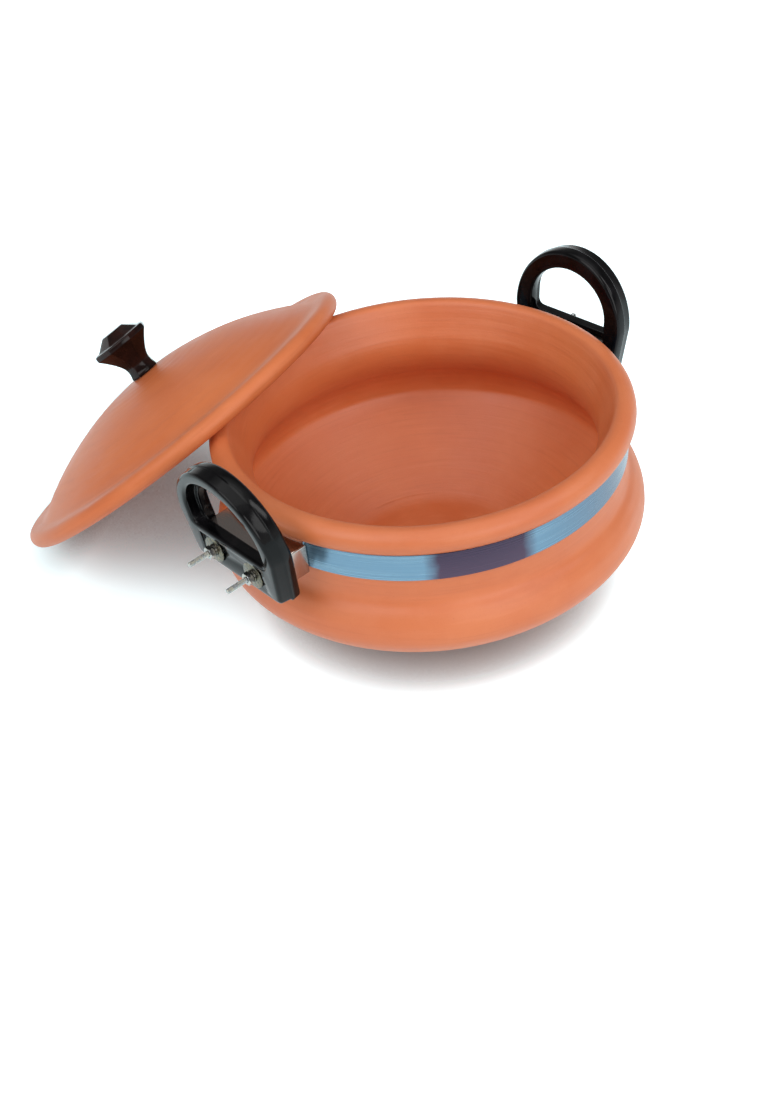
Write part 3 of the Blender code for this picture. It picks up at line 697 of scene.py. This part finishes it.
def bracket_sheet():
    """The folded channel's outside, open below and towards the neck."""
    half = BRACKET_WIDTH / 2
    reach = math.asin(half / BRACKET_SEAT)
    back = arc((0, 0), BRACKET_SEAT, reach, -reach, 24)
    verts = [(x, y, BRACKET_TOP) for x, y in back]
    last = len(back) - 1
    verts += [(BRACKET_FACE, -half, BRACKET_TOP), (BRACKET_FACE, half, BRACKET_TOP)]
    verts += [(back[0][0], half, BRACKET_BOTTOM), (back[0][0], -half, BRACKET_BOTTOM)]
    verts += [(BRACKET_FACE, -half, BRACKET_BOTTOM), (BRACKET_FACE, half, BRACKET_BOTTOM)]
    right, left, low_left, low_right, front_right, front_left = range(last + 1, last + 7)
    faces = [tuple(range(last + 3)), (right, front_right, front_left, left), (0, left, front_left, low_left),
             (last, low_right, front_right, right)]
    return verts, faces


def thread(start, end, radius):
    """A helical thread along +Z from start to end, with a chamfered tip."""
    columns = 18
    quarters = math.ceil((end - start) / THREAD_PITCH * 4) + 4
    depths = (THREAD_DEPTH, THREAD_DEPTH / 2, 0.0, THREAD_DEPTH / 2)
    verts, faces = [], []
    for k in range(columns):
        angle = 2 * math.pi * k / columns
        for i in range(quarters):
            z = start + (i - 4 + 4 * k / columns) * THREAD_PITCH / 4
            z = min(max(z, start), end)
            reach = min(radius - depths[i % 4], radius - THREAD_DEPTH - THREAD_CHAMFER + (end - z))
            verts.append((reach * math.cos(angle), reach * math.sin(angle), z))
    for k in range(columns):
        following = (k + 1) % columns
        shift = 4 if following == 0 else 0
        for i in range(quarters - 1 - shift):
            one, other = k * quarters + i, following * quarters + i + shift
            faces.append((one, other, other + 1, one + 1))
    tip = len(verts)
    verts.append((0, 0, end))
    ends = [k * quarters + quarters - 1 for k in range(columns)]
    faces += [(tip, ends[k], ends[(k + 1) % columns]) for k in range(columns)]
    return verts, faces


def together(*shapes):
    """Several shapes in one."""
    verts, faces = [], []
    for shape in shapes:
        faces += [tuple(v + len(verts) for v in face) for face in shape[1]]
        verts += list(shape[0])
    return verts, faces


def nut_shape(inner, flats, start, end):
    """A hexagonal nut whose corners are cut back by a cone at both ends."""
    segments = 72
    angles = [2 * math.pi * k / segments for k in range(segments)]
    height = end - start
    near_end = [0.0, 0.0001, 0.0002, 0.0004, 0.0007]
    levels = near_end + [height / 2] + [height - level for level in reversed(near_end)]
    rows = [[(inner * math.cos(a), inner * math.sin(a), start) for a in angles]]
    for level in levels:
        row = []
        for angle in angles:
            hexagon = flats / 2 / math.cos((angle + math.pi / 6) % (math.pi / 3) - math.pi / 6)
            cone = flats / 2 * NUT_CONE_SHARE + min(level, height - level) * NUT_CONE_SLOPE
            reach = min(hexagon, cone)
            row.append((reach * math.cos(angle), reach * math.sin(angle), start + level))
        rows.append(row)
    rows.append([(inner * math.cos(a), inner * math.sin(a), end) for a in angles])
    return loft(rows, closed=True)


def washer_section(inner, outer, start, end, edge):
    """Section of a washer with its edges eased."""
    cut = edge * 0.3
    low = [(inner, start), (outer - edge, start), (outer - cut, start + cut), (outer, start + edge)]
    high = [(outer, end - edge), (outer - cut, end - cut), (outer - edge, end), (inner, end)]
    return low + high


def spring_shape(inner, outer, start, end):
    """A split washer, its ends sprung apart."""
    rows = []
    for step in range(61):
        share = step / 60
        angle = SPLIT_WIDTH / 2 + (2 * math.pi - SPLIT_WIDTH) * share + SPLIT_ANGLE
        lift = SPLIT_LIFT * (share - 0.5)
        row = [(inner, start + lift), (outer, start + lift), (outer, end + lift), (inner, end + lift)]
        rows.append([(r * math.cos(angle), r * math.sin(angle), z) for r, z in row])
    verts, faces = loft(rows)
    return verts, faces + [(0, 1, 2, 3), tuple(range(len(verts) - 4, len(verts)))]


def add_fasteners(name, place, y, finish, washer_finish):
    """One bolt with its thread, washer, spring washer and nut."""
    head_end = FLANGE_X - BAND_THICKNESS / 2 - GAP
    washer_start = POCKET_FACE + GAP
    spring_start = washer_start + WASHER_THICKNESS + GAP
    nut_start = spring_start + SPRING_WASHER_THICKNESS + GAP
    tip = nut_start + NUT_HEIGHT + BOLT_PROUD
    line = (0, y, BOLT_Z)
    low = head_end - BOLT_HEAD_HEIGHT
    rim = BOLT_HEAD_RADIUS
    head = [(0, low)] + bend((rim - BOLT_HEAD_ROUND, low), (rim, low), (rim, low + BOLT_HEAD_EDGE), 6)
    head += [(rim, head_end), (BOLT_RADIUS, head_end), (BOLT_RADIUS, POCKET_FACE), (0, POCKET_FACE)]
    shaft = thread(POCKET_FACE - THREAD_OVERLAP, tip, BOLT_RADIUS)
    bolt = along_x(together(lathe(head, 32), shaft), line)
    add_piece(f"bolt_{name}", bolt, finish, place=place, crease=35)
    section = washer_section(BORE, WASHER_RADIUS, washer_start, washer_start + WASHER_THICKNESS, WASHER_EDGE)
    washer = along_x(lathe(section, 72, closed=True), line)
    add_piece(f"washer_{name}", washer, washer_finish, place=place)
    spring = spring_shape(BORE, SPRING_WASHER_RADIUS, spring_start, spring_start + SPRING_WASHER_THICKNESS)
    add_piece(f"spring_washer_{name}", along_x(spring, line), finish, place=place)
    nut = nut_shape(BORE, NUT_FLATS, nut_start, nut_start + NUT_HEIGHT)
    add_piece(f"nut_{name}", along_x(nut, line), finish, place=place, crease=25)


def on_plan(x, y, angle):
    """A point of the plan, turned about the pot's axis."""
    return (x * math.cos(angle) - y * math.sin(angle), x * math.sin(angle) + y * math.cos(angle))


def half_path(sign):
    """Plan line and top edge of one end of the strap, from inside the bracket out to the neck."""
    tab = math.asin(TAB_Y / BAND_MIDDLE)
    corner = (BAND_MIDDLE * math.cos(tab), TAB_Y)
    flange = bend((FLANGE_X, TAB_Y - FLANGE_FOLD), (FLANGE_X, TAB_Y), (FLANGE_X - FLANGE_FOLD, TAB_Y), 6)
    neck_end = tab + TAB_TURN / BAND_MIDDLE
    outer = bend((corner[0] + TAB_LEAD, TAB_Y), corner, on_plan(BAND_MIDDLE, 0, neck_end), 5)
    rows = [(FLANGE_X, FLANGE_END, TAB_TOP)] + [(x, y, TAB_TOP) for x, y in flange]
    rows += [(corner[0] + out, TAB_Y, TAB_TOP) for out in (TAB_EDGE_START, TAB_EDGE_END)]
    rows += [(x, y, BAND_TOP) for x, y in outer]
    return [(x, sign * y, z) for x, y, z in rows], neck_end


def add_strap(name, start_angle, end_angle, finish, holes):
    """Half the neck band, its long edges eased and its ends folded into the brackets."""
    first, neck_end = half_path(1)
    second, _ = half_path(-1)
    around = []
    for step in range(1, STRAP_STEPS):
        angle = start_angle + neck_end + (end_angle - start_angle - 2 * neck_end) * step / STRAP_STEPS
        around.append((*on_plan(BAND_MIDDLE, 0, angle), BAND_TOP))
    path = [(*on_plan(x, y, start_angle), z) for x, y, z in first] + around
    path += [(*on_plan(x, y, end_angle), z) for x, y, z in reversed(second)]
    half, ease = BAND_THICKNESS / 2, STRAP_EASE
    rows = []
    for index, (x, y, top) in enumerate(path):
        here = Vector((x, y))
        ways = []
        if index:
            ways.append((here - Vector(path[index - 1][:2])).normalized())
        if index < len(path) - 1:
            ways.append((Vector(path[index + 1][:2]) - here).normalized())
        normals = [Vector((-way.y, way.x)) for way in ways]
        mitre = sum(normals, Vector((0, 0))).normalized()
        mitre = mitre / mitre.dot(normals[0])
        section = [(half, BAND_BOTTOM + ease), (half - ease, BAND_BOTTOM), (ease - half, BAND_BOTTOM),
                   (-half, BAND_BOTTOM + ease), (-half, top - ease), (ease - half, top), (half - ease, top),
                   (half, top - ease)]
        rows.append([(x + mitre.x * side, y + mitre.y * side, z) for side, z in section])
    verts, faces = loft(rows)
    faces += [tuple(range(8)), tuple(range(len(verts) - 8, len(verts)))]
    add_piece(name, (verts, faces), finish, tools=[difference(hole) for hole in holes])


def knob_shape():
    """The eight-sided knob, without a bore: flared foot, waisted neck, banded rim and sloping crown."""
    rim_high = KNOB_HEIGHT - KNOB_CROWN_HEIGHT
    rim_low = rim_high - KNOB_RIM_HEIGHT
    bevel = KNOB_BEVEL
    waist = (KNOB_NECK, KNOB_NECK_HEIGHT)
    foot = [(0, 0), (KNOB_FOOT_RADIUS, 0), (KNOB_FOOT_RADIUS, KNOB_FOOT_HEIGHT)]
    flare = bend(foot[-1], (KNOB_NECK, KNOB_NECK_HEIGHT / 2), waist, 8)
    neck = bend(waist, (KNOB_NECK, KNOB_NECK_TURN), (KNOB_HEAD - bevel, rim_low), 16)
    rim = [(KNOB_HEAD, rim_low + bevel), (KNOB_HEAD, rim_high - bevel),
           (KNOB_HEAD - bevel / 2, rim_high - bevel / 3), (KNOB_CROWN_EDGE, rim_high)]
    outline = joined(foot, flare, neck, rim, [(KNOB_CROWN_RADIUS, KNOB_HEIGHT), (0, KNOB_HEIGHT)])
    angles = [math.pi / KNOB_SIDES + 2 * math.pi * k / KNOB_SIDES for k in range(KNOB_SIDES)]
    rows = []
    for radius, height in outline:
        rows.append([(radius * math.cos(a), radius * math.sin(a), height + LID_RISE + GAP) for a in angles])
    return loft(rows)


def add_knob_set(brown, metal):
    """The knob on the dome, and its screw and washer inside."""
    ease = eased(KNOB_EASE, 3, 24)
    add_piece("knob", knob_shape(), brown, "lid_body", LID_FRAME, tools=[ease])
    inner = DOME_RADIUS - LID_WALL
    dip = inner - math.sqrt(inner ** 2 - SCREW_WASHER_RADIUS ** 2)
    washer_top = LID_RISE - LID_WALL - dip - GAP
    washer_low = washer_top - SCREW_WASHER_THICKNESS
    section = washer_section(SCREW_WASHER_BORE, SCREW_WASHER_RADIUS, washer_low, washer_top,
                             SCREW_WASHER_EDGE)
    washer = lathe(section, 64, closed=True)
    add_piece("knob_washer", washer, metal, "lid_body", LID_FRAME)
    head_top = washer_low - GAP
    head_low = head_top - SCREW_HEAD_HEIGHT
    tip = LID_RISE + GAP + SCREW_GRIP
    dome = bend((0, head_low), (SCREW_HEAD_RADIUS, head_low), (SCREW_HEAD_RADIUS, head_top), 10)
    screw = lathe(joined(dome, [(SCREW_RADIUS, head_top), (SCREW_RADIUS, tip), (0, tip)]), 40)
    slot = cutter(block((-SLOT_HALF_LENGTH, -SLOT_HALF_WIDTH, head_low - SLOT_CLEARANCE),
                        (SLOT_HALF_LENGTH, SLOT_HALF_WIDTH, head_low + SLOT_DEPTH)))
    add_piece("knob_screw", screw, metal, "lid_body", LID_FRAME, tools=[difference(slot)])
    return [slot]


def add_handle_set(name, angle, finishes):
    """One handle with its bracket and fasteners, in a frame whose +X points outwards."""
    place = Matrix.Rotation(angle, 4, "Z")
    sides = {"left": BOLT_SPACING / 2, "right": -BOLT_SPACING / 2}
    holes = {side: bolt_hole(y) for side, y in sides.items()}
    half = BRACKET_WIDTH / 2 + GAP
    recess = cutter(block((CUT_INNER, -half, CUT_LOW), (BAR_BACK, half, BAR_TOP + GRIP_CORNER + GAP)))
    pocket = cutter(block((POCKET_FACE, -POCKET_HALF_WIDTH, CUT_LOW),
                          (CUT_OUTER, POCKET_HALF_WIDTH, BAR_TOP - POCKET_TOP_RIM)), POCKET_ROUNDING)
    cuts = [difference(tool) for tool in (recess, pocket, *holes.values())]
    ease = eased(HANDLE_EASE, 2, 50)
    add_piece(f"handle_{name}", handle_shape(), finishes["bakelite"], place=place, crease=50,
              tools=cuts + [ease])
    folds = ("BEVEL", {"width": SHEET_BEND, "segments": 6})
    sheet = ("SOLIDIFY", {"thickness": SHEET, "offset": -1, "use_even_offset": True})
    add_piece(f"bracket_{name}", bracket_sheet(), finishes["steel"], place=place,
              tools=[folds, sheet] + [difference(hole) for hole in holes.values()])
    for side, y in sides.items():
        add_fasteners(f"{name}_{side}", place, y, finishes["zinc"], finishes["dull_zinc"])
    for hole in holes.values():
        hole.matrix_world = place
    return [recess, pocket], holes


def add_object():
    """Every piece of the handi."""
    finishes = {"steel": steel(), "bakelite": bakelite("bakelite", rgb(5, 5, 6), rgb(20, 19, 21))}
    finishes["zinc"] = zinc("zinc", rgb(156, 158, 160), rgb(184, 180, 166))
    finishes["dull_zinc"] = zinc("dull_zinc", rgb(78, 76, 70), rgb(124, 116, 96))
    brown = bakelite("brown_bakelite", rgb(20, 11, 10), rgb(46, 22, 17))
    blue = blue_steel()
    add_pot(clay("clay_pot", 0.6))
    add_lid(clay("clay_lid", 0.35, LID_FRAME))
    spent = add_knob_set(brown, finishes["zinc"])
    all_holes = {}
    for name, angle in HANDLE_ANGLES.items():
        tools, all_holes[name] = add_handle_set(name, angle, finishes)
        spent += tools + list(all_holes[name].values())
    near, far = HANDLE_ANGLES["near"], HANDLE_ANGLES["far"]
    near_holes, far_holes = all_holes["near"], all_holes["far"]
    bpy.context.view_layer.update()
    add_strap("band_back", far, near, blue, [far_holes["left"], near_holes["right"]])
    add_strap("band_front", near, far + 2 * math.pi, blue, [near_holes["left"], far_holes["right"]])
    for tool in spent:
        bpy.data.objects.remove(tool, do_unlink=True)


def add_camera():
    """The photograph's view."""
    heading = Vector((math.cos(CAMERA_HEADING), math.sin(CAMERA_HEADING), 0))
    forward = heading * math.cos(CAMERA_PITCH) - Vector((0, 0, math.sin(CAMERA_PITCH)))
    level = forward.cross(Vector((0, 0, 1))).normalized()
    over = level.cross(forward)
    right = level * math.cos(CAMERA_ROLL) + over * math.sin(CAMERA_ROLL)
    up = over * math.cos(CAMERA_ROLL) - level * math.sin(CAMERA_ROLL)
    data = bpy.data.cameras.new("camera")
    data.lens = CAMERA_LENS_MM
    data.sensor_width = 36
    camera = bpy.data.objects.new("camera", data)
    camera.matrix_world = Matrix((right, up, -forward)).transposed().to_4x4()
    camera.location = CAMERA_PLACE
    bpy.context.scene.collection.objects.link(camera)
    bpy.context.scene.camera = camera


def add_lamp(name, kind, place, target, power, **settings):
    """A lamp that shines from a place at a target."""
    data = bpy.data.lights.new(name, kind)
    data.energy = power
    for key, value in settings.items():
        setattr(data, key, value)
    lamp = bpy.data.objects.new(name, data)
    lamp.location = place
    lamp.rotation_euler = (Vector(target) - Vector(place)).to_track_quat("-Z", "Y").to_euler()
    bpy.context.scene.collection.objects.link(lamp)


def add_floor():
    """A white floor that keeps the object's shadow, with painted shade from ambient occlusion that darkens
    its colour and dims its glow, deepest right beside the object.
    """
    mesh = bpy.data.meshes.new("floor")
    half = 8.0
    corners = [(-half, -half, 0), (half, -half, 0), (half, half, 0), (-half, half, 0)]
    mesh.from_pydata(corners, [], [(0, 1, 2, 3)])
    floor = bpy.data.objects.new("floor", mesh)
    bpy.context.scene.collection.objects.link(floor)
    shader = Shader("floor")
    showing = shader.seen()
    # Painted shade: ambient occlusion darkens the floor's colour and dims its glow near the object.
    contact = shader.node("AmbientOcclusion", {"samples": 8}, Distance=0.03).outputs["AO"]
    tone = shader.math("POWER", contact, 1.5)
    around = shader.node("AmbientOcclusion", {"samples": 8}, Distance=0.25).outputs["AO"]
    openness = shader.math("MULTIPLY", tone, shader.remap(around, 0.08, 0.42))
    painted_floor_shade = shader.math("MULTIPLY", tone, shader.remap(around, 0.02, 0.2, 0.3, 1.0))
    white = shader.mix(painted_floor_shade, (0.35, 0.39, 0.4, 1), (1, 1, 1, 1))
    shader.set(Base_Color=shader.mix(showing, (0.8, 0.8, 0.8, 1), white), Roughness=1.0)
    shader.set(Specular_IOR_Level=0.0, Emission_Color=(0.61, 0.93, 1, 1))
    shader.set(Emission_Strength=shader.math("MULTIPLY", shader.math("MULTIPLY", showing, openness), 0.7))
    mesh.materials.append(shader.material)


def add_light():
    """A pale world, broad soft lights from the front, the left and overhead, and a soft box on the right."""
    world = bpy.data.worlds.new("world")
    world.use_nodes = True
    sky = Nodes(world.node_tree)
    height = sky.node("SeparateXYZ", Vector=sky.node("TexCoord").outputs["Generated"]).outputs["Z"]
    low_sky = sky.remap(height, 0.1, 0.35, 1.0, 0.2)
    high_sky = sky.remap(height, 0.75, 0.9, 0.2, 0.9)
    shown = sky.math("MAXIMUM", low_sky, high_sky)
    background = sky.tree.nodes["Background"]
    background.inputs["Color"].default_value = (1, 1, 1, 1)
    showing = sky.seen()
    strength = sky.math("ADD", sky.math("MULTIPLY", showing, shown),
                        sky.math("MULTIPLY", sky.math("SUBTRACT", 1.0, showing), WORLD_LIGHT))
    sky.feed(background.inputs["Strength"], strength)
    bpy.context.scene.world = world
    add_lamp("overhead", "SUN", (0, 0, 2), (0, 0, 0), 0.35, angle=math.radians(50))
    add_lamp("front", "SUN", (-0.4, -1.65, 0.9), (0, 0, 0), 1.2, angle=math.radians(40))
    add_lamp("left", "SUN", (-1.4, 0, 1.4), (0, 0, 0), 1.05, angle=math.radians(40))
    add_lamp("side", "AREA", (0.545, -0.92, 1.14), (-0.1, 0, 0.1), 4.0,
             shape="RECTANGLE", size=0.35, size_y=0.8)


bpy.context.scene.view_settings.view_transform = "Standard"
add_object()
add_floor()
add_light()
add_camera()
